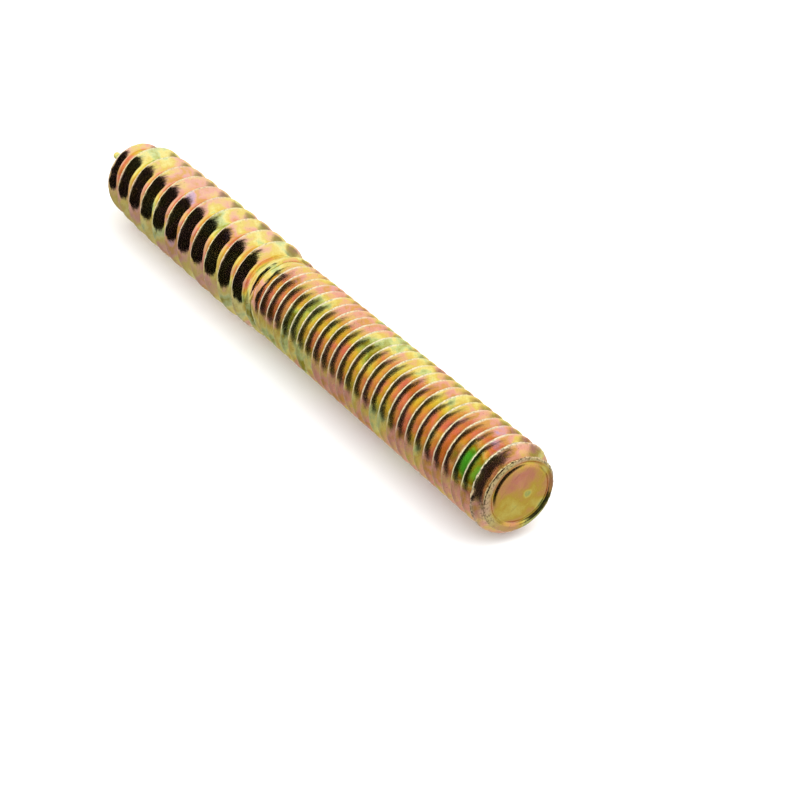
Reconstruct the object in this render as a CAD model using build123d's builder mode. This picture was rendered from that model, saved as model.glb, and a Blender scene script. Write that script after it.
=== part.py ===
from build123d import *
import math
import os

# A hanger bolt: one piece of steel with a machine thread on one end and a coarse wood
# thread with a gimlet point on the other. Lengths are in millimetres. The bolt is drawn
# upright along Z, machine end down, and then laid along X on the surface Z = 0.

os.makedirs("parts", exist_ok=True)

# Driving dimensions
overall_length = 76.2  # 3 inches
crest_diameter = 8.6  # over the wood thread
root_diameter = 6.3  # at the bottom of the wood thread
wood_pitch = 2.822  # 9 turns to the inch
wood_phase = -0.55  # where the thread's crest crosses the X axis, from the machine end
crest_land = 0.3  # width of the flat on the wood thread's crest
flank_angle = 30.0  # of each flank, from square to the axis
machine_diameter = 7.85  # over the 5/16-18 thread
machine_length = 38.1  # half the bolt
end_chamfer_width = 0.85  # along the axis
end_chamfer_depth = 0.55  # in radius
lip_diameter = 5.8  # inside the lip that rolling left round the end face
groove_diameter = 5.16  # at the bottom of the groove inside the lip
groove_depth = 0.2
face_diameter = 4.4  # the flat of the end face
face_depth = 0.05  # below the lip
blank_diameter = 7.0  # the plain wire between the two threads
neck_length = 3.0
neck_taper = 1.2  # length over which the wire falls to the wood thread's root
point_length = 7.3
nib_diameter = 1.5  # where the point's cone meets the nib
nib_length = 1.1
nib_end_diameter = 0.5
run_out_start = 0.4  # how far inside the shank the wood thread begins
run_out_cover = 0.2  # how far under the shank's surface it begins
bare_length = 0.9  # of the point's cone, past the end of the thread
fade_height = 0.1  # height that is left of the thread there
ridge_seat = 0.2  # how deep the thread's ridge is rooted in the core

# Radii, and places along the axis from the machine end
crest_radius = crest_diameter / 2
root_radius = root_diameter / 2
machine_radius = machine_diameter / 2
blank_radius = blank_diameter / 2
lip_radius = lip_diameter / 2
groove_radius = groove_diameter / 2
face_radius = face_diameter / 2
nib_radius = nib_diameter / 2
thread_height = crest_radius - root_radius
neck_end = machine_length + neck_length
full_thread_start = neck_end + neck_taper
run_out_length = full_thread_start - machine_length + run_out_start
point_start = overall_length - point_length
nib_start = overall_length - nib_length
point_thread_length = point_length - nib_length - bare_length

# Slopes of the thread's two tapered stretches, in radius over length
run_out_slope = (crest_radius - machine_radius + run_out_cover) / run_out_length
point_slope = (root_radius - nib_radius) / (nib_start - point_start)


def ridge_section(path, place, height):
    """The thread's section, square to its helix: a seat in the core, two flanks and a crest."""
    origin = path @ place
    outward = Vector(origin.X, origin.Y, 0)
    half_crest = crest_land / 2
    half_base = half_crest + (height + ridge_seat) * math.tan(math.radians(flank_angle))
    with BuildSketch(Plane(origin=origin, x_dir=outward, z_dir=path % place)) as section:
        with BuildLine():
            Polyline(
                (-ridge_seat, -half_base),
                (height, -half_crest),
                (height, half_crest),
                (-ridge_seat, half_base),
                close=True,
            )
        make_face()
    return section.sketch


def thread_stretch(length, start_radius, slope=0.0, end_height=thread_height):
    """A stretch of right-hand ridge from Z = 0, whose root rises by slope along the axis."""
    cone = math.atan(slope)
    with BuildPart() as stretch:
        with BuildLine() as path:
            Helix(wood_pitch / math.cos(cone), length, start_radius, cone_angle=math.degrees(cone))
        first = ridge_section(path.line, 0, thread_height)
        last = ridge_section(path.line, 1, end_height)
        sweep(sections=[first, last], path=path.line, multisection=True, is_frenet=True)
    return stretch.part


# The core is turned: machine shank with its end face and lip, neck, wood thread's root and point
with BuildPart() as core:
    with BuildSketch(Plane.XZ):
        with BuildLine():
            Polyline(
                (0, face_depth),
                (face_radius, face_depth),
                (groove_radius, groove_depth),
                (lip_radius, 0),
                (machine_radius - end_chamfer_depth, 0),
                (machine_radius, end_chamfer_width),
                (machine_radius, machine_length - (machine_radius - blank_radius)),
                (blank_radius, machine_length),
                (blank_radius, neck_end),
                (root_radius, full_thread_start),
                (root_radius, point_start),
                (nib_radius, nib_start),
                (nib_end_diameter / 2, overall_length),
                (0, overall_length),
                close=True,
            )
        make_face()
    revolve(axis=Axis.Z)

# The wood thread is one helix in three stretches: it rises out of the shank, runs at its
# full height, and follows the point's cone while it sinks into it
run_out = thread_stretch(
    run_out_length, root_radius - run_out_slope * run_out_length, run_out_slope
)
full_thread = thread_stretch(point_start - full_thread_start, root_radius)
point_thread = thread_stretch(point_thread_length, root_radius, -point_slope, fade_height)
stretches = (
    (full_thread_start - run_out_length, run_out),
    (full_thread_start, full_thread),
    (point_start, point_thread),
)

with BuildPart() as upright:
    add(core.part)
    for place, stretch in stretches:
        with Locations(Location((0, 0, place), (0, 0, 360 * (place - wood_phase) / wood_pitch))):
            add(stretch)

# Laid on its side on the wood thread's crest, machine end towards +X
with BuildPart() as hanger_bolt:
    with Locations(Location((overall_length / 2, 0, crest_radius), (0, -90, 0))):
        add(upright.part)

hanger_bolt.part.label = "hanger_bolt"
export_step(hanger_bolt.part, "parts/hanger_bolt.step")
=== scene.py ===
"""A hanger bolt: plated steel with a wood thread on one half and a machine thread on the other."""

import logging
import math
from collections.abc import Callable
from dataclasses import dataclass, field
from enum import Enum

import bmesh
import bpy
from mathutils import Matrix, Vector, noise


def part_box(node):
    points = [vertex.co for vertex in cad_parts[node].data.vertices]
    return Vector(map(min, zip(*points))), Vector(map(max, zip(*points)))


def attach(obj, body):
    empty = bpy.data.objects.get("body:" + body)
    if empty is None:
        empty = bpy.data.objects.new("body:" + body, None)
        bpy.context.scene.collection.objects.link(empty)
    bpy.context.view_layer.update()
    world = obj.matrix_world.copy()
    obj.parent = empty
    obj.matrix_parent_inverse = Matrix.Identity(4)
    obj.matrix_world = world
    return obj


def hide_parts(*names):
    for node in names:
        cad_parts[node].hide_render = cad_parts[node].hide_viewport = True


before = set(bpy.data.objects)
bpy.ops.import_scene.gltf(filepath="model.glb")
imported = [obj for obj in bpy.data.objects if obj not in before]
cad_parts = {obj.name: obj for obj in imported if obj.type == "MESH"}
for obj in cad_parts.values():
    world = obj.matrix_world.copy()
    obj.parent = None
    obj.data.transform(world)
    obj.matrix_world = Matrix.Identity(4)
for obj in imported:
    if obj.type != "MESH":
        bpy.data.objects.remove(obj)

LOG = logging.getLogger("hanger_bolt")
MM = 0.001
NODE = "hanger_bolt"
TURN = math.tau
STEPS = 96  # stations round one turn of thread
MERGE = 1e-4  # millimetres
HALF_LENGTH = 38.1  # of the bolt, in millimetres
FLANK_ANGLE = 30.0  # degrees, from square to the axis
Profile = Callable[[float], float]  # what a place along the axis gives
Span = tuple[float, float]  # where an effect is nothing, and where it is whole


def ease(value: float, low: float, high: float) -> float:
    """Eases from 0 at low to 1 at high, which may stand in either order."""
    share = min(max((value - low) / (high - low), 0.0), 1.0)
    return share * share * (3.0 - 2.0 * share)


def blend(first: float, second: float, share: float) -> float:
    """Mixes two numbers by share."""
    return first + (second - first) * share


def soft_min(first: float, second: float, width: float) -> float:
    """The smaller of two numbers, rounded where they cross.

    Args:
        first: One number.
        second: The other.
        width: How far apart the numbers are where the rounding starts.

    Returns:
        The rounded minimum.
    """
    near = max(width - abs(first - second), 0.0) / width
    return min(first, second) - near * near * width / 4


@dataclass(frozen=True)
class ThreadForm:
    """One pitch of a 60 degree thread, in millimetres."""

    pitch: float
    crest: float
    root: float
    land: float
    crest_round: float
    root_round: float
    phase: float = 0.0
    flank_cuts: int = 2
    root_cuts: int = 1
    root_segments: int = 4
    crest_segments: int = 2
    least_height: float = 0.25  # of a lowered thread, against its full height
    most_height: float = 1.3

    def section(self) -> bmesh.types.BMesh:
        """Draws one pitch from crest to crest in the XZ plane.

        Returns:
            A mesh of one open wire, its corners rounded and its flanks cut.
        """
        flank = self.flank
        half_land = self.land / 2
        corners = (
            (0.0, self.crest),
            (half_land, self.crest),
            (half_land + flank, self.root),
            (self.pitch - half_land - flank, self.root),
            (self.pitch - half_land, self.crest),
            (self.pitch, self.crest),
        )
        wire = bmesh.new()
        points = [wire.verts.new((radius, 0.0, along)) for along, radius in corners]
        for before, after in zip(points, points[1:]):
            wire.edges.new((before, after))
        self.round_corners(wire, points[2:4], self.root_round, self.root_segments)
        tips = [
            vert
            for vert in wire.verts
            if len(vert.link_edges) == 2 and vert.co.x > self.crest - MERGE
        ]
        self.round_corners(wire, tips, self.crest_round, self.crest_segments)
        middle = (self.crest + self.root) / 2
        flanks = []
        floors = []
        for edge in wire.edges:
            height = (edge.verts[0].co.x + edge.verts[1].co.x) / 2
            if edge.calc_length() > self.root_round and abs(height - middle) < flank / 2:
                flanks.append(edge)
            elif height < self.root + MERGE:
                floors.append(edge)
        bmesh.ops.subdivide_edges(wire, edges=flanks, cuts=self.flank_cuts)
        bmesh.ops.subdivide_edges(wire, edges=floors, cuts=self.root_cuts)
        return wire

    @property
    def flank(self) -> float:
        """How far one flank reaches along the axis."""
        return (self.crest - self.root) * math.tan(math.radians(FLANK_ANGLE))

    def turns(self, spot: Vector) -> float:
        """Counts the turns to a point on the thread: a whole number lies on the crest."""
        return (spot.z - self.phase) / self.pitch - math.atan2(spot.y, spot.x) / TURN

    def nearest_crest(self, spot: Vector) -> float:
        """Finds where the crest nearest to a point on the thread lies, along the axis."""
        turns = self.turns(spot)
        return spot.z - (turns - round(turns)) * self.pitch

    def lower(
        self, spot: Vector, share: float, core: Profile, crest: Profile, widen: Profile
    ) -> tuple[float, float]:
        """Moves one point where the thread is lower, so that its flanks stay as steep.

        Args:
            spot: The point, on the thread as it was rolled.
            share: How high it lies, from 0 at the root to 1 at the crest.
            core: Gives the root's radius at a place along the axis.
            crest: Gives the crest's radius there.
            widen: Gives how far a lower crest grows wider instead of its root, from 0 to 1.

        Returns:
            The point's new radius and its new place along the axis.
        """
        top = self.nearest_crest(spot)
        side = 1.0 if spot.z > top else -1.0
        away = abs(spot.z - top)
        half_land = self.land / 2
        foot = half_land + self.flank
        high = max(crest(top), core(top))
        height = (high - core(top + side * foot)) / (self.crest - self.root)
        height = min(max(height, self.least_height), self.most_height)
        edge = blend(half_land, foot - self.flank * height, widen(top))
        kept = edge + self.flank * height
        if away <= half_land:
            new, base = away * edge / half_land, kept
        elif away <= foot:
            new, base = edge + (away - half_land) * height, kept
        else:
            new = blend(kept, self.pitch / 2, (away - foot) / (self.pitch / 2 - foot))
            base = new
        low = min(core(top + side * base), high)
        return blend(low, high, share), top + side * new

    @staticmethod
    def round_corners(
        wire: bmesh.types.BMesh, corners: list[bmesh.types.BMVert], size: float, segments: int
    ) -> None:
        """Rounds corners of a wire.

        Args:
            wire: The mesh that holds the wire.
            corners: Its vertices to round.
            size: How far the rounding reaches along each side.
            segments: Pieces in each arc.
        """
        bmesh.ops.bevel(
            wire,
            geom=corners,
            offset=size,
            offset_type="OFFSET",
            segments=segments,
            profile=0.5,
            affect="VERTICES",
            material=-1,
        )

    def sheet(self, low: float, high: float) -> bmesh.types.BMesh:
        """Rolls the section into a right-hand thread and cuts it square at both ends.

        Args:
            low: Where the thread is cut, along the axis.
            high: Where it is cut at its other end.

        Returns:
            An open sheet of thread about the Z axis.
        """
        sheet = self.section()
        bmesh.ops.spin(
            sheet,
            geom=sheet.verts[:] + sheet.edges[:],
            cent=(0, 0, 0),
            axis=(0, 0, 1),
            dvec=(0, 0, self.pitch / STEPS),
            angle=TURN,
            steps=STEPS,
            use_merge=False,
        )
        first = math.floor((low - self.phase) / self.pitch) - 1
        last = math.ceil((high - self.phase) / self.pitch)
        start = Vector((0, 0, self.phase + first * self.pitch))
        bmesh.ops.translate(sheet, verts=sheet.verts, vec=start)
        turn = sheet.verts[:] + sheet.edges[:] + sheet.faces[:]
        for index in range(1, last - first):
            copy = bmesh.ops.duplicate(sheet, geom=turn)["geom"]
            verts = [item for item in copy if isinstance(item, bmesh.types.BMVert)]
            bmesh.ops.translate(sheet, verts=verts, vec=(0, 0, self.pitch * index))
        bmesh.ops.remove_doubles(sheet, verts=sheet.verts, dist=MERGE)
        return sheet


def trim(sheet: bmesh.types.BMesh, low: float, high: float) -> None:
    """Cuts a mesh square to the Z axis at two heights and drops what lies outside them."""
    for height, normal in ((low, (0, 0, -1)), (high, (0, 0, 1))):
        bmesh.ops.bisect_plane(
            sheet,
            geom=sheet.verts[:] + sheet.edges[:] + sheet.faces[:],
            dist=MERGE,
            plane_co=(0, 0, height),
            plane_no=normal,
            clear_outer=True,
        )


def rim(mesh: bmesh.types.BMesh, height: float) -> list[bmesh.types.BMEdge]:
    """Finds the open edges that lie at one height."""
    return [
        edge
        for edge in mesh.edges
        if edge.is_boundary and all(abs(vert.co.z - height) < MERGE * 10 for vert in edge.verts)
    ]


@dataclass(frozen=True)
class Zones:
    """How far a point lies in each zone of the bolt, from 0 to 1."""

    crest: float
    end: float  # the battered machine end
    neck: float
    step: float  # the ridge at the start of the wood thread
    face: float
    worn: float


@dataclass
class HangerBolt:
    """The bolt's body, drawn upright in millimetres from its machine end at Z = 0."""

    machine: ThreadForm = field(
        default_factory=lambda: ThreadForm(1.411, 3.925, 3.08, 0.12, 0.05, 0.15, -0.013)
    )
    wood: ThreadForm = field(
        default_factory=lambda: ThreadForm(
            2.822, 4.3, 3.15, 0.1, 0.045, 0.18, -0.55, flank_cuts=3, root_cuts=5
        )
    )
    # The machine end: its lip, the chamfer over the first turns and the cut behind the lip
    lip: float = 3.36
    lip_start: float = 0.16
    lip_end: float = 0.5
    chamfer_slope: float = 0.95
    chamfer_round: float = 0.25
    undercut: float = 0.2
    undercut_span: Span = (1.3, 0.8)
    face_shift: float = 0.28
    # The neck, where the machine thread runs out and the wood thread starts
    machine_end: float = 38.3
    neck_from: float = 36.9
    neck_root: float = 3.6
    neck_crest: float = 3.78
    neck_start: float = 3.64
    neck_level: float = 0.35
    neck_fall: float = 0.3
    widen_span: Span = (36.7, 37.7)
    rise_span: Span = (0.04, 0.3)
    run_in: float = 38.6
    root_start: float = 41.5
    run_out_end: float = 42.4
    seam: float = 0.05
    # The wood end: its taper, its point with the last turns on it, and the nib
    taper_start: float = 60.0
    taper: float = 0.16
    point_start: float = 69.6
    point_round: float = 0.3
    point_crest: float = 69.0
    crest_slope: float = 0.69
    crest_round: float = 0.5
    point_ridge: float = 0.28
    thread_fade: float = 0.8
    nib_start: float = 75.1
    nib: float = 0.37
    bow: float = 0.13
    bow_side: tuple[float, float] = (0.66, 0.75)  # along X and Y
    # Masks for the material, by vertex
    crest_layer: str = "crest"
    crest_gain: float = 1.6
    worn_layer: str = "worn"
    neck_wear: float = 0.5

    def machine_core(self, along: float) -> float:
        """The machine thread's root radius at a place along the axis."""
        root = self.machine.root - self.undercut * ease(along, *self.undercut_span)
        start = blend(self.lip, root, ease(along, self.lip_start, self.lip_end))
        to_neck = ease(along, self.neck_from, self.machine_end - self.seam)
        return blend(start, self.neck_root, to_neck)

    def machine_crest(self, along: float) -> float:
        """The machine thread's crest radius at a place along the axis."""
        chamfer = self.lip + (along - self.lip_start) * self.chamfer_slope
        crest = max(soft_min(self.machine.crest, chamfer, self.chamfer_round), self.lip)
        to_neck = ease(along, self.neck_from, self.machine_end - self.neck_level)
        crest = blend(crest, self.neck_crest, to_neck)
        fall = ease(along, self.machine_end - self.neck_fall, self.machine_end)
        return blend(crest, self.neck_start, fall)

    def wood_core(self, along: float) -> float:
        """The wood thread's root radius at a place along the axis."""
        core = blend(self.neck_root, self.wood.root, ease(along, self.run_in, self.root_start))
        slope = (self.wood.root - self.nib) / (self.nib_start - self.point_start)
        cone = self.nib + (self.nib_start - along) * slope
        return max(soft_min(core, cone, self.point_round), self.nib)

    def wood_crest(self, along: float) -> float:
        """The wood thread's crest radius at a place along the axis."""
        rise = min(max((along - self.machine_end) / (self.run_out_end - self.machine_end), 0), 1)
        full = blend(self.neck_crest, self.wood.crest, 1 - (1 - rise) ** 2)
        full = blend(self.neck_start, full, ease(rise, *self.rise_span))
        full -= self.taper * ease(along, self.taper_start, self.point_start)
        cone = self.wood.crest + (self.point_crest - along) * self.crest_slope
        envelope = soft_min(full, cone, self.crest_round)
        core = self.wood_core(along)
        fade = ease(along, self.nib_start, self.nib_start - self.thread_fade)
        return core + (max(envelope, core + self.point_ridge) - core) * fade

    def widen(self, along: float) -> float:
        """How far the crest broadens into the neck, as the machine thread runs out."""
        return ease(along, *self.widen_span) if along < self.machine_end else 0.0

    def reshape(
        self, sheet: bmesh.types.BMesh, form: ThreadForm, core: Profile, crest: Profile
    ) -> None:
        """Moves a thread's sheet between a core and an envelope that change along the axis.

        Args:
            sheet: The thread's sheet.
            form: The thread as it was rolled.
            core: Gives the root's radius at a place along the axis.
            crest: Gives the crest's radius there.
        """
        layer = sheet.verts.layers.float.new(self.crest_layer)
        for vert in sheet.verts:
            radius = math.hypot(vert.co.x, vert.co.y)
            share = (radius - form.root) / (form.crest - form.root)
            height = (crest(vert.co.z) - core(vert.co.z)) / (form.crest - form.root)
            vert[layer] = share * min(max(height, 0.0) * self.crest_gain, 1.0)
            new_radius, vert.co.z = form.lower(vert.co, share, core, crest, self.widen)
            vert.co.x *= new_radius / radius
            vert.co.y *= new_radius / radius

    def threads(self) -> bmesh.types.BMesh:
        """Rolls both threads and joins them at the neck.

        Returns:
            An open tube from the machine end's lip to the root of the nib.
        """
        machine = self.machine.sheet(self.lip_start, self.machine_end)
        self.reshape(machine, self.machine, self.machine_core, self.machine_crest)
        trim(machine, self.lip_start, self.machine_end - self.seam)
        body = self.wood.sheet(self.machine_end, self.nib_start)
        self.reshape(body, self.wood, self.wood_core, self.wood_crest)
        trim(body, self.machine_end + self.seam, self.nib_start + self.seam)
        half = bpy.data.meshes.new("machine_half")
        machine.to_mesh(half)
        machine.free()
        body.from_mesh(half)
        bpy.data.meshes.remove(half)
        joint = rim(body, self.machine_end - self.seam) + rim(body, self.machine_end + self.seam)
        bmesh.ops.bridge_loops(body, edges=joint)
        return body

    def cap(
        self, body: bmesh.types.BMesh, height: float, rings: list[tuple[float, float]]
    ) -> None:
        """Closes an open rim with a row of rings that ends in a point on the axis.

        Args:
            body: The mesh to close.
            height: Where its open rim lies.
            rings: The radius and height of each ring, from the rim to the middle.
        """
        edges = rim(body, height)
        for radius, along in rings:
            new = bmesh.ops.extrude_edge_only(body, edges=edges)["geom"]
            edges = [item for item in new if isinstance(item, bmesh.types.BMEdge)]
            for vert in {vert for edge in edges for vert in edge.verts}:
                flat = Vector((vert.co.x, vert.co.y))
                flat = flat.normalized() * radius
                vert.co = (flat.x, flat.y, along)
        last = list({vert for edge in edges for vert in edge.verts})
        bmesh.ops.pointmerge(body, verts=last, merge_co=(0, 0, rings[-1][1]))

    def end_rings(self) -> list[tuple[float, float]]:
        """The machine end's rings, as radius and place: its lip, the groove and the face."""
        lip = [(3.34, 0.07), (3.28, 0.015), (3.2, 0.0), (3.08, 0.015), (2.98, 0.005), (2.92, 0.03)]
        groove = [(2.85, 0.09), (2.78, 0.15), (2.72, 0.19), (2.68, 0.19), (2.62, 0.17)]
        face = [(2.54, 0.13), (2.45, 0.095), (2.34, 0.065), (2.2, 0.05)]
        flat = [(2.1 - 0.25 * index, 0.045) for index in range(1, 8)]
        return lip + groove + face + flat

    def nib_rings(self) -> list[tuple[float, float]]:
        """The rings of the nib that the wood point ends in, as radius and place."""
        neck = [(0.32, 75.35), (0.35, 75.55)]
        ball = [(0.4, 75.85), (0.38, 76.05), (0.28, 76.18), (0.12, 76.2)]
        return neck + ball

    def roughen(self, body: bmesh.types.BMesh) -> None:
        """Gives the rolled surface its uneven crests, torn neck and battered end."""
        worn_layer = body.verts.layers.float.new(self.worn_layer)
        crest_layer = body.verts.layers.float[self.crest_layer]
        for vert in body.verts:
            spot = vert.co.copy()
            radius = math.hypot(spot.x, spot.y)
            if radius < MERGE:
                continue
            out = Vector((spot.x, spot.y, 0.0)) / radius
            zones = self.zones(spot, radius, vert[crest_layer])
            vert[worn_layer] = zones.worn
            ragged = noise.noise(spot * 3.1)
            fine = noise.noise(spot * 7.3 + Vector((5.0, 1.0, 9.0)))
            band = Vector((spot.x * 0.5, spot.y * 0.5, spot.z * 3.4))
            torn = noise.noise(band) + 0.5 * noise.noise(band * 2.3 + Vector((3.0, 7.0, 1.0)))
            lift = zones.crest * (0.022 * ragged + 0.014 * fine)
            lift += zones.end * (0.05 * ragged + 0.08 * fine)
            lift += zones.neck * (0.09 * torn + 0.03 * ragged) + 0.11 * zones.step
            wander = noise.noise(spot * 2.3 + Vector((11.0, 4.0, 2.0)))
            shift = zones.crest * (0.035 * wander + 0.03 * fine)
            shift += zones.end * (0.05 * noise.noise(spot * 4.0) + 0.07 * noise.noise(spot * 9.7))
            vert.co += out * lift
            vert.co.y += self.face_shift * zones.face
            vert.co.z += shift

    def zones(self, spot: Vector, radius: float, crest: float) -> Zones:
        """Finds which parts of the bolt a point belongs to.

        Args:
            spot: The point.
            radius: Its distance from the axis.
            crest: Its height on the thread, from 0 at the root to 1 at the crest.

        Returns:
            How far the point lies in each zone.
        """
        crest = ease(crest, 0.8, 1.0)
        lip = ease(spot.z, 0.75, 0.45)
        end = ease(spot.z, 2.6, 0.8) * ease(radius, 2.85, 3.1) * max(crest, lip)
        end *= blend(0.3, 1.0, ease(spot.x, -3.0, -1.0))
        neck = ease(spot.z, 36.2, 37.2) * ease(spot.z, 42.0, 40.6)
        turns = self.wood.turns(spot)
        step = ease(turns, 13.97, 14.17) * ease(turns, 14.66, 14.56)
        worn = max(lip, crest * ease(spot.z, 4.0, 2.4)) * end
        worn = max(worn, self.neck_wear * neck * crest)
        face = ease(radius, 3.32, 2.9) * ease(spot.z, 0.6, 0.3)
        return Zones(crest, end, neck, step, face, worn)

    def bend(self, body: bmesh.types.BMesh) -> None:
        """Bows the wood end up a little, as rolling leaves it."""
        for vert in body.verts:
            lean = self.bow * ease(vert.co.z, self.taper_start, self.nib_start)
            vert.co.x += self.bow_side[0] * lean
            vert.co.y += self.bow_side[1] * lean

    def build(self) -> bpy.types.Object:
        """Makes the bolt as one closed mesh and lays it where the solid lies.

        Returns:
            The finished object, at the origin, with its place in its mesh.
        """
        body = self.threads()
        self.cap(body, self.lip_start, self.end_rings())
        self.cap(body, self.nib_start + self.seam, self.nib_rings())
        self.roughen(body)
        self.bend(body)
        bmesh.ops.remove_doubles(body, verts=body.verts, dist=MERGE)
        bmesh.ops.recalc_face_normals(body, faces=body.faces)
        low, high = (Vector(corner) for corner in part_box(NODE))
        middle = (low + high) / 2
        place = Matrix.Translation((high.x, middle.y, middle.z))
        place @= Matrix.Rotation(-math.pi / 2, 4, "Y") @ Matrix.Scale(MM, 4)
        bmesh.ops.transform(body, matrix=place, verts=body.verts)
        for face in body.faces:
            face.smooth = True
        mesh = bpy.data.meshes.new("bolt_body")
        body.to_mesh(mesh)
        body.free()
        bolt = bpy.data.objects.new("bolt_body", mesh)
        bpy.context.scene.collection.objects.link(bolt)
        return bolt


class Tint(Enum):
    """Colours that the plating's film shows, as linear red, green and blue."""

    OLIVE = (0.50, 0.42, 0.06)
    LEMON = (0.96, 0.85, 0.33)
    GOLD = (0.87, 0.68, 0.19)
    AMBER = (0.80, 0.47, 0.15)
    PEACH = (0.92, 0.60, 0.31)
    PINK = (0.90, 0.48, 0.38)
    LILAC = (0.74, 0.50, 0.60)
    MINT = (0.70, 0.77, 0.36)
    GREEN = (0.32, 0.64, 0.17)
    CREAM = (0.97, 0.88, 0.60)
    UMBER = (0.16, 0.10, 0.03)


@dataclass(frozen=True)
class Stain:
    """A place where the plating's film is thicker or thinner than round it."""

    along: float  # millimetres from the machine end
    turned: float  # degrees round the axis from straight up, seen from the machine end
    reach: float
    shift: float
    out: float = 4.0  # from the axis

    def centre(self) -> tuple[float, float, float]:
        """Its place in millimetres from the middle of the bolt."""
        angle = math.radians(self.turned)
        return (HALF_LENGTH - self.along, self.out * math.sin(angle), self.out * math.cos(angle))


STAINS = (
    Stain(66.5, 10, 4.0, -0.16),
    Stain(63.5, -18, 1.6, 0.16),
    Stain(56.5, 0, 4.2, 0.13),
    Stain(49.5, -10, 3.0, -0.12),
    Stain(46.5, -22, 1.6, 0.3),
    Stain(42.5, 5, 3.6, -0.12),
    Stain(33.5, 5, 5.0, 0.12),
    Stain(20.0, 10, 5.0, -0.12),
    Stain(5.0, -10, 4.6, 0.15),
    Stain(1.2, 3, 2.4, 0.2),
    Stain(1.0, 34, 2.0, 0.22),
    Stain(0.1, 124, 1.6, -0.22, 3.6),
    Stain(0.1, 158, 1.6, -0.22, 3.6),
    Stain(3.1, -50, 2.4, -0.62, 3.1),
    Stain(71.0, -45, 2.6, -0.14, 3.0),
    Stain(0.0, 40, 2.1, 0.01, 1.1),
    Stain(0.0, 103, 0.55, -0.2, 0.87),
    Stain(0.0, -140, 2.2, -0.08, 1.6),
    Stain(30.5, -45, 3.6, -0.22),
    Stain(22.5, -45, 2.6, 0.16),
    Stain(58.5, -95, 2.0, -0.25),
    Stain(54.0, -95, 2.4, 0.2),
    Stain(6.0, -100, 5.0, 0.14),
    Stain(39.5, -100, 2.6, -0.2),
    Stain(31.5, -100, 4.5, -0.2),
)

STAIN_CORE = 0.3  # share of a stain's reach over which it is at its strongest


class Nodes:
    """Lays out shader nodes in one tree."""

    def __init__(self, tree: bpy.types.NodeTree) -> None:
        """Keeps the tree to build in."""
        self.tree = tree

    def add(self, kind: str, inputs: dict | None = None, **settings) -> bpy.types.Node:
        """Adds a node and fills it in.

        Args:
            kind: The node's type.
            inputs: Values or sockets by the input's name or number.
            **settings: Attributes of the node.

        Returns:
            The new node.
        """
        node = self.tree.nodes.new(kind)
        for name, value in settings.items():
            setattr(node, name, value)
        for key, value in (inputs or {}).items():
            if isinstance(value, bpy.types.NodeSocket):
                self.tree.links.new(value, node.inputs[key])
            else:
                node.inputs[key].default_value = value
        return node

    def math(self, operation: str, *values) -> bpy.types.NodeSocket:
        """Adds a Math node and returns its result."""
        node = self.add("ShaderNodeMath", dict(enumerate(values)), operation=operation)
        return node.outputs[0]

    def times(self, first, second) -> bpy.types.NodeSocket:
        """Multiplies two values."""
        return self.math("MULTIPLY", first, second)

    def plus(self, first, second) -> bpy.types.NodeSocket:
        """Adds two values."""
        return self.math("ADD", first, second)

    def minus(self, first, second) -> bpy.types.NodeSocket:
        """Takes the second value from the first."""
        return self.math("SUBTRACT", first, second)

    def dot(self, first, second) -> bpy.types.NodeSocket:
        """Gives the dot product of two vectors."""
        node = self.add("ShaderNodeVectorMath", {0: first, 1: second}, operation="DOT_PRODUCT")
        return node.outputs["Value"]

    def axis(self, vector, index: int) -> bpy.types.NodeSocket:
        """Gives one part of a vector."""
        return self.add("ShaderNodeSeparateXYZ", {0: vector}).outputs[index]

    def noise(self, place, scale, **settings) -> bpy.types.NodeSocket:
        """Adds a Noise Texture and returns its value.

        Args:
            place: Where the noise is read.
            scale: How fine it is.
            **settings: Its other inputs, by name.

        Returns:
            The noise, from 0 to 1.
        """
        inputs = {"Vector": place, "Scale": scale, **settings}
        return self.add("ShaderNodeTexNoise", inputs).outputs["Fac"]

    def greatest(self, *values) -> bpy.types.NodeSocket:
        """Gives the greatest of some values."""
        result = values[0]
        for value in values[1:]:
            result = self.math("MAXIMUM", result, value)
        return result

    def attribute(self, name: str) -> bpy.types.NodeSocket:
        """Reads a mask that the mesh carries."""
        return self.add("ShaderNodeAttribute", attribute_name=name).outputs["Fac"]

    def mix(self, share, first, second) -> bpy.types.NodeSocket:
        """Mixes two colours and returns the result."""
        node = self.add(
            "ShaderNodeMix", {0: share, 6: first, 7: second}, data_type="RGBA", blend_type="MIX"
        )
        return node.outputs[2]

    def remap(self, value, low: float, high: float, smooth: bool = True) -> bpy.types.NodeSocket:
        """Maps a value's range from low to high onto 0 to 1."""
        node = self.add(
            "ShaderNodeMapRange",
            {0: value, 1: low, 2: high, 3: 0.0, 4: 1.0},
            interpolation_type="SMOOTHSTEP" if smooth else "LINEAR",
        )
        return node.outputs[0]


def colour(tint: Tint) -> tuple[float, float, float, float]:
    """The tint with an alpha of 1."""
    return (*tint.value, 1.0)


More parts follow.
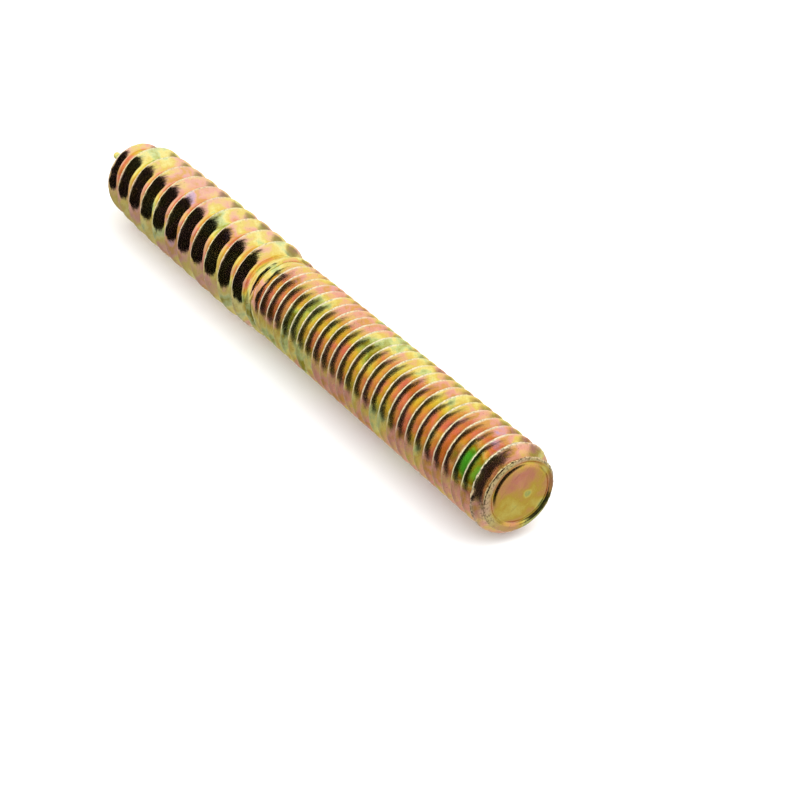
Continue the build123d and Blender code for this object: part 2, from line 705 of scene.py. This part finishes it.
def film_group() -> bpy.types.NodeTree:
    """Builds the group that gives the plating's interference colours.

    Returns:
        A group from a place on the part, in millimetres, to a colour.
    """
    group = bpy.data.node_groups.new("film_colours", "ShaderNodeTree")
    for name, kind, value in (
        ("Place", "NodeSocketVector", None),
        ("Patch Size", "NodeSocketFloat", 3.0),
        ("Shift", "NodeSocketFloat", 0.0),
        ("Spread", "NodeSocketFloat", 1.0),
        ("Depth", "NodeSocketFloat", 1.0),
    ):
        socket = group.interface.new_socket(name, in_out="INPUT", socket_type=kind)
        if value is not None:
            socket.default_value = value
    group.interface.new_socket("Colour", in_out="OUTPUT", socket_type="NodeSocketColor")
    nodes = Nodes(group)
    given = nodes.add("NodeGroupInput").outputs
    scale = nodes.math("DIVIDE", 1.0, given["Patch Size"])
    broad = nodes.noise(given["Place"], scale, Detail=2.0, Roughness=0.45, Distortion=0.3)
    squeezed = nodes.add(
        "ShaderNodeMapping", {"Vector": given["Place"], "Scale": (3.2, 0.55, 0.55)}
    ).outputs[0]
    bands = nodes.noise(squeezed, 0.8, Detail=3.0, Roughness=0.5)
    mottle = nodes.noise(given["Place"], 2.6, Detail=3.0, Roughness=0.6)
    thickness = nodes.plus(nodes.times(broad, 1.1), nodes.times(bands, 0.45))
    thickness = nodes.plus(thickness, nodes.times(mottle, 0.2))
    centred = nodes.minus(thickness, 0.875)  # half of 1.1, 0.45 and 0.2 together
    spread = nodes.times(centred, given["Spread"])
    film = nodes.plus(nodes.plus(spread, 0.5), given["Shift"])
    for stain in STAINS:
        away = nodes.add(
            "ShaderNodeVectorMath", {0: given["Place"], 1: stain.centre()}, operation="DISTANCE"
        ).outputs["Value"]
        near = nodes.remap(away, stain.reach, stain.reach * STAIN_CORE)
        film = nodes.plus(film, nodes.times(near, stain.shift))
    ramp = nodes.add("ShaderNodeValToRGB", {"Fac": film})
    stops = (
        (0.02, Tint.GREEN),
        (0.16, Tint.OLIVE),
        (0.27, Tint.MINT),
        (0.35, Tint.LEMON),
        (0.45, Tint.GOLD),
        (0.53, Tint.PEACH),
        (0.62, Tint.PINK),
        (0.72, Tint.AMBER),
        (0.80, Tint.PINK),
        (0.88, Tint.LILAC),
    )
    elements = ramp.color_ramp.elements
    while len(elements) < len(stops):
        elements.new(0.5)
    for element, (position, tint) in zip(elements, stops):
        element.position = position
        element.color = colour(tint)
    deep = nodes.add("ShaderNodeGamma", {"Color": ramp.outputs["Color"], "Gamma": given["Depth"]})
    nodes.add("NodeGroupOutput", {"Colour": deep.outputs[0]})
    return group


def rolling_group() -> bpy.types.NodeTree:
    """Builds the group that gives the fine marks of rolling and plating.

    Returns:
        A group from a place on the part, in millimetres, to a height and a mask of specks.
    """
    group = bpy.data.node_groups.new("rolling_marks", "ShaderNodeTree")
    for name, kind in (("Place", "NodeSocketVector"), ("Stretch", "NodeSocketVector")):
        group.interface.new_socket(name, in_out="INPUT", socket_type=kind)
    group.interface.new_socket("Height", in_out="OUTPUT", socket_type="NodeSocketFloat")
    group.interface.new_socket("Specks", in_out="OUTPUT", socket_type="NodeSocketFloat")
    nodes = Nodes(group)
    given = nodes.add("NodeGroupInput").outputs
    drawn = nodes.add(
        "ShaderNodeVectorMath", {0: given["Place"], 1: given["Stretch"]}, operation="MULTIPLY"
    ).outputs[0]
    lines = nodes.noise(drawn, 1.0, Detail=4.0, Roughness=0.6)
    grain = nodes.noise(given["Place"], 5.0, Detail=3.0)
    specks = nodes.remap(grain, 0.64, 0.74)
    height = nodes.plus(lines, nodes.times(grain, 0.5))
    nodes.add("NodeGroupOutput", {"Height": height, "Specks": specks})
    return group


@dataclass(frozen=True)
class SurfaceSpot:
    """What a material knows of the place that it colours."""

    place: bpy.types.NodeSocket  # in millimetres from the middle of the bolt
    machine: bpy.types.NodeSocket  # nothing on the wood half
    face: bpy.types.NodeSocket
    crest: bpy.types.NodeSocket
    worn: bpy.types.NodeSocket


@dataclass(frozen=True)
class PlatedFinish:
    """Bright zinc with a yellow chromate film, over rolled steel."""

    name: str
    film: bpy.types.NodeTree
    marks: bpy.types.NodeTree
    centre: tuple[float, float, float]
    patch_size: float = 3.0
    stretch: tuple[float, float, float] = (14.0, 1.2, 1.2)
    bump: float = 0.3
    bump_distance: float = 0.02  # millimetres
    worn_bump: float = 3.0
    roughness: tuple[float, float] = (0.1, 0.26)
    # The machine half, which is deeper in colour and duller
    machine_span: Span = (-3.0, 3.0)
    machine_depth: float = 0.25
    machine_rough: float = 0.4
    # The roots of the threads, with painted shade: deeper film colour in all roots, and darkening
    # in the machine thread's roots
    root_shade_span: Span = (0.4, 0.0)
    root_shade_depth: float = 0.32
    root_shade_evening: float = 0.7
    # Painted shade in the machine thread's roots
    floor_shade_span: Span = (0.45, 0.0)
    floor_shade_dark: float = 1.4
    # The end face
    face_span: Span = (37.88, 38.0)
    face_depth: float = 0.2
    face_evening: float = 0.3
    face_shift: float = 0.02
    scratch: tuple[float, float, float] = (1.0, 2.8, 0.3)
    scratch_turn: float = math.radians(40)
    scratch_span: Span = (0.5, 0.66)
    scratch_dark: float = 0.5
    # The crests, a little rubbed pale all round and given a painted highlight on the side facing up
    # towards the camera, and the worn metal
    edge_span: Span = (0.84, 1.0)
    edge_highlight: float = 0.6
    machine_highlight: float = 1.3
    # Where the crests' painted highlight falls: the side facing up towards the camera
    highlight_side: tuple[float, float, float] = (0.0, -0.5, 0.87)
    highlight_span: Span = (2.1, 3.4)
    rubbed_least: float = 0.15
    worn_pale: float = 0.5
    # Dirt, and with it the painted shade in the machine thread's roots
    grit_scale: float = 5.5
    grit_span: Span = (0.48, 0.6)
    grit_edge: float = 0.55
    speck_dark: float = 0.3
    dirt_and_shade_dark: float = 0.75

    def colour_film(self, nodes: Nodes, spot: SurfaceSpot) -> bpy.types.NodeSocket:
        """Places the film's group, deeper in the roots as painted shade and calmer on the end face.
        """
        # Painted shade: the film's colour deepens towards the thread roots, less on the machine
        # half
        low = nodes.minus(self.root_shade_depth, nodes.times(spot.machine, self.root_shade_evening))
        low = nodes.times(nodes.remap(spot.crest, *self.root_shade_span), low)
        depth = nodes.plus(nodes.plus(spot.machine, low), 1.0)
        inputs = {
            "Place": spot.place,
            "Patch Size": self.patch_size,
            "Depth": nodes.plus(depth, nodes.times(spot.face, self.face_depth)),
            "Spread": nodes.minus(1.0, nodes.times(spot.face, self.face_evening)),
            "Shift": nodes.minus(0.0, nodes.times(spot.face, self.face_shift)),
        }
        return nodes.add("ShaderNodeGroup", inputs, node_tree=self.film).outputs["Colour"]

    def rubbed_and_highlit_edge(self, nodes: Nodes, spot: SurfaceSpot) -> bpy.types.NodeSocket:
        """Masks the threads' crests: a little all round for rubbed wear, most on the side facing up
        towards the camera as a painted highlight.
        """
        # Painted highlight on the side facing up towards the camera; rubbed_least is the rubbed
        # wear all round
        side = nodes.dot(spot.place, self.highlight_side)
        rubbed_and_lit = nodes.times(nodes.remap(side, *self.highlight_span), 1.0 - self.rubbed_least)
        rubbed_and_lit = nodes.plus(rubbed_and_lit, self.rubbed_least)
        return nodes.times(nodes.remap(spot.crest, *self.edge_span), rubbed_and_lit)

    def dirt_and_shade(
        self,
        nodes: Nodes,
        spot: SurfaceSpot,
        edge: bpy.types.NodeSocket,
        specks: bpy.types.NodeSocket,
    ) -> bpy.types.NodeSocket:
        """Masks the dirt and painted shade: specks, grit on worn metal and crests, painted shade in
        the machine thread's roots, and scratches.

        Args:
            nodes: The material's nodes.
            spot: What is known of the surface.
            edge: The mask of the crests, rubbed all round and with their painted highlight.
            specks: The mask of the specks.

        Returns:
            The mask of all dirt and painted shade.
        """
        drawn = nodes.add(
            "ShaderNodeMapping",
            {
                "Vector": spot.place,
                "Rotation": (self.scratch_turn, 0.0, 0.0),
                "Scale": self.scratch,
            },
            vector_type="TEXTURE",
        ).outputs[0]
        lines = nodes.remap(nodes.noise(drawn, 1.0, Detail=3.0, Roughness=0.65), *self.scratch_span)
        lines = nodes.times(lines, spot.face)
        grit = nodes.noise(spot.place, self.grit_scale, Detail=2.0, Roughness=0.6)
        grit = nodes.remap(grit, *self.grit_span)
        ragged = nodes.greatest(spot.worn, nodes.times(edge, self.grit_edge))
        # Painted shade: the machine thread's roots darken towards umber
        floor = nodes.remap(spot.crest, *self.floor_shade_span)
        return nodes.greatest(
            nodes.times(specks, self.speck_dark),
            nodes.times(grit, ragged),
            nodes.times(floor, nodes.times(spot.machine, self.floor_shade_dark)),
            nodes.times(lines, self.scratch_dark),
        )

    def material(self) -> bpy.types.Material:
        """Builds the material.

        Returns:
            A material whose patterns lie on Object coordinates in millimetres.
        """
        material = bpy.data.materials.new(self.name)
        material.use_nodes = True
        material.node_tree.nodes.clear()
        nodes = Nodes(material.node_tree)
        place = nodes.add(
            "ShaderNodeMapping",
            {
                "Vector": nodes.add("ShaderNodeTexCoord").outputs["Object"],
                "Location": tuple(-part / MM for part in self.centre),
                "Scale": (1 / MM, 1 / MM, 1 / MM),
            },
        ).outputs[0]
        along = nodes.axis(place, 0)
        spot = SurfaceSpot(
            place=place,
            machine=nodes.times(nodes.remap(along, *self.machine_span), self.machine_depth),
            face=nodes.remap(along, *self.face_span),
            crest=nodes.attribute("crest"),
            worn=nodes.attribute("worn"),
        )
        marks = nodes.add(
            "ShaderNodeGroup", {"Place": place, "Stretch": self.stretch}, node_tree=self.marks
        ).outputs
        edge = self.rubbed_and_highlit_edge(nodes, spot)
        # Crests go cream: a little for rubbed wear, mostly as a painted highlight, stronger on the
        # machine half
        highlight_pale = nodes.plus(nodes.times(spot.machine, self.machine_highlight), self.edge_highlight)
        cream = colour(Tint.CREAM)
        tinted = nodes.mix(nodes.times(edge, highlight_pale), self.colour_film(nodes, spot), cream)
        tinted = nodes.mix(nodes.times(spot.worn, self.worn_pale), tinted, cream)
        # Dirt and the painted root shade both darken towards umber
        dirt_and_shade = nodes.times(self.dirt_and_shade(nodes, spot, edge, marks["Specks"]), self.dirt_and_shade_dark)
        tinted = nodes.mix(dirt_and_shade, tinted, colour(Tint.UMBER))
        smooth, rough = self.roughness
        rough = nodes.add(
            "ShaderNodeMapRange", {0: marks["Specks"], 1: 0.0, 2: 1.0, 3: smooth, 4: rough}
        ).outputs[0]
        rough = nodes.plus(rough, nodes.times(spot.machine, self.machine_rough))
        height = nodes.plus(1.0, nodes.times(spot.worn, self.worn_bump))
        height = nodes.times(marks["Height"], height)
        bump = nodes.add(
            "ShaderNodeBump",
            {"Strength": self.bump, "Distance": self.bump_distance * MM, "Height": height},
        ).outputs[0]
        shader = nodes.add(
            "ShaderNodeBsdfPrincipled",
            {"Base Color": tinted, "Metallic": 1.0, "Roughness": rough, "Normal": bump},
        )
        nodes.add("ShaderNodeOutputMaterial", {"Surface": shader.outputs[0]})
        return material


@dataclass
class Studio:
    """A pale floor, soft light and the camera."""

    floor_size: float = 3.0
    camera_place: tuple[float, float, float] = (0.14537, -0.07653, 0.09205)
    camera_aim: tuple[float, float, float] = (-0.73128, 0.44682, -0.51535)
    lens: float = 90.15
    near: float = 0.005
    key_place: tuple[float, float, float] = (0.32, 0.3, 0.65)
    key_size: float = 0.7
    key_power: float = 1.8
    white: float = 1.06  # the brightness that the metal reflects
    # The dark flag: a field between two edges along each of two directions
    flag_ahead: Span = (0.3, 0.42)
    flag_rise: tuple[float, float, float] = (0.06, 0.658, 0.75)
    flag_rise_edges: tuple[Span, Span] = ((0.68, 0.59), (-0.57, -0.5))
    flag_side: tuple[float, float, float] = (0.0, -0.75, 0.66)
    flag_side_edges: tuple[Span, Span] = ((0.76, 0.59), (-0.38, -0.28))
    flag_dark: float = 0.996
    # Grey fields: below, in front and beside
    below_span: Span = (0.05, -0.5)
    below_dim: float = 0.36
    front_aim: tuple[float, float, float] = (0.0, -0.8, -0.3)
    front_span: Span = (0.3, 0.62)
    front_dim: float = 0.3
    beside_aim: tuple[float, float, float] = (0.35, 0.92, -0.13)
    beside_span: Span = (17.0, 9.0)  # degrees from its aim
    beside_dim: float = 0.6
    # Light that isn't reflected: on the bolt and the floor, and straight into the camera
    fill: float = 1.6
    backdrop: float = -0.6

    def floor(self) -> bpy.types.Object:
        """Lays the floor."""
        mesh = bmesh.new()
        bmesh.ops.create_grid(mesh, x_segments=1, y_segments=1, size=self.floor_size / 2)
        data = bpy.data.meshes.new("floor")
        mesh.to_mesh(data)
        mesh.free()
        floor = bpy.data.objects.new("floor", data)
        bpy.context.scene.collection.objects.link(floor)
        floor.visible_glossy = False
        material = bpy.data.materials.new("paper")
        material.use_nodes = True
        shader = material.node_tree.nodes["Principled BSDF"]
        shader.inputs["Base Color"].default_value = (0.9, 0.9, 0.9, 1.0)
        shader.inputs["Roughness"].default_value = 0.9
        shader.inputs["Specular IOR Level"].default_value = 0.0
        data.materials.append(material)
        return floor

    def reflected(self, nodes: Nodes, direction: bpy.types.NodeSocket) -> bpy.types.NodeSocket:
        """Gives the brightness that the metal reflects from a direction.

        Args:
            nodes: The world's nodes.
            direction: Where the light comes from.

        Returns:
            White, less the grey fields and the dark flag.
        """
        rise = nodes.dot(direction, self.flag_rise)
        side = nodes.dot(direction, self.flag_side)
        flag = nodes.remap(nodes.axis(direction, 0), *self.flag_ahead)
        for place, edges in ((rise, self.flag_rise_edges), (side, self.flag_side_edges)):
            for edge in edges:
                flag = nodes.times(flag, nodes.remap(place, *edge))
        front = nodes.remap(nodes.dot(direction, self.front_aim), *self.front_span)
        below = nodes.remap(nodes.axis(direction, 2), *self.below_span)
        dim = nodes.plus(nodes.times(front, self.front_dim), nodes.times(below, self.below_dim))
        flag = nodes.minus(1.0, nodes.times(flag, self.flag_dark))
        lit = nodes.times(nodes.minus(self.white, dim), flag)
        far, close = (math.cos(math.radians(angle)) for angle in self.beside_span)
        beside = nodes.remap(nodes.dot(direction, self.beside_aim), far, close)
        return nodes.times(lit, nodes.minus(1.0, nodes.times(beside, self.beside_dim)))

    def world(self) -> None:
        """Surrounds the bolt with white, and with what the metal reflects instead of it."""
        world = bpy.data.worlds.new("studio")
        world.use_nodes = True
        world.node_tree.nodes.clear()
        bpy.context.scene.world = world
        nodes = Nodes(world.node_tree)
        direction = nodes.add("ShaderNodeTexCoord").outputs["Generated"]
        light = nodes.add("ShaderNodeLightPath").outputs
        glossy = nodes.times(light["Is Glossy Ray"], self.reflected(nodes, direction))
        plain = nodes.times(nodes.minus(1.0, light["Is Glossy Ray"]), self.fill)
        seen = nodes.times(light["Is Camera Ray"], self.backdrop)
        strength = nodes.plus(nodes.plus(glossy, plain), seen)
        background = nodes.add(
            "ShaderNodeBackground", {"Color": (1.0, 1.0, 1.0, 1.0), "Strength": strength}
        )
        nodes.add("ShaderNodeOutputWorld", {"Surface": background.outputs[0]})

    def lamp(self, name: str, place: Vector, size: float, power: float) -> None:
        """Hangs one soft lamp that faces the bolt."""
        data = bpy.data.lights.new(name, "AREA")
        data.shape = "DISK"
        data.size = size
        data.energy = power
        lamp = bpy.data.objects.new(name, data)
        lamp.location = place
        lamp.visible_glossy = False
        lamp.rotation_euler = (-place).to_track_quat("-Z", "Y").to_euler()
        bpy.context.scene.collection.objects.link(lamp)

    def camera(self) -> None:
        """Sets the camera up."""
        data = bpy.data.cameras.new("camera")
        data.lens = self.lens
        data.clip_start = self.near
        camera = bpy.data.objects.new("camera", data)
        camera.location = self.camera_place
        camera.rotation_euler = Vector(self.camera_aim).to_track_quat("-Z", "Y").to_euler()
        bpy.context.scene.collection.objects.link(camera)
        bpy.context.scene.camera = camera

    def build(self) -> None:
        """Sets up the floor, the light and the camera."""
        self.floor()
        self.world()
        self.lamp("key", Vector(self.key_place), self.key_size, self.key_power)
        self.camera()
        bpy.context.scene.view_settings.view_transform = "Standard"


def main() -> None:
    """Builds the bolt and its studio and reports them."""
    logging.basicConfig(level=logging.INFO, format="%(message)s")
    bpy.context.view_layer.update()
    Studio().build()
    low, high = (Vector(corner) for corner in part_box(NODE))
    centre = tuple((low + high) / 2)
    finish = PlatedFinish("yellow_zinc", film_group(), rolling_group(), centre)
    bolt = HangerBolt().build()
    bolt.data.materials.append(finish.material())
    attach(bolt, "root")
    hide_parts(NODE)
    triangles = sum(len(face.vertices) - 2 for face in bolt.data.polygons)
    LOG.info("%s: %d triangles", bolt.name, triangles)


if __name__ == "__main__":
    main()
